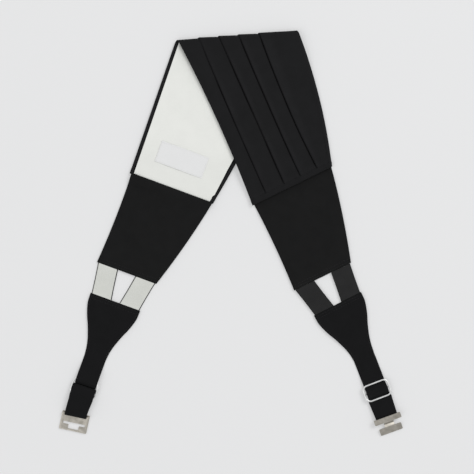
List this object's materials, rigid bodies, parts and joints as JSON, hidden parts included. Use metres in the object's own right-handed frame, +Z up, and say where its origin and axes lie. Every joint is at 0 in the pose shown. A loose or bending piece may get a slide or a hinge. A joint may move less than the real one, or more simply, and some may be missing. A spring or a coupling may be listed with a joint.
{
  "type": "cummerbund",
  "caption": "Pleated black cummerbund lying folded over once, with plain side panels, elastic bands, adjustable straps on wire slides, and a flat metal hook-and-eye clasp.",
  "frame": {"origin": "bottom centre of the whole garment's bounding box, on the surface it lies on", "axes": "+Z up from the surface, +Y from the clasps towards the fold, +X towards the arm that lies on top"},
  "size_m": [0.3774, 0.4456, 0.0076],
  "materials": {
    "pleat_cloth": "matt black twill",
    "panel_cloth": "matt black twill",
    "elastic": "charcoal knitted elastic",
    "backing": "off-white cotton tape",
    "strap_webbing": "matt black webbing",
    "lining_cloth": "smooth white lining",
    "label_cloth": "white woven label, bare",
    "slide_wire": "polished",
    "clasp_metal": "satin, slightly warm"
  },
  "bodies": {
    "root": {"pleated_front": "pleat_cloth", "lining": "lining_cloth", "label": "label_cloth", "side_panel_right": "panel_cloth", "side_panel_left": "panel_cloth", "band_right_a": "elastic", "band_right_a_backing": "backing", "band_right_b": "elastic", "band_right_b_backing": "backing", "band_left_a": "elastic", "band_left_a_backing": "backing", "band_left_b": "elastic", "band_left_b_backing": "backing", "back_strap_right": "strap_webbing", "back_strap_left": "strap_webbing", "slide_right": "slide_wire", "slide_left": "slide_wire", "hook": "clasp_metal", "eye": "clasp_metal"}
  },
  "joints": []
}
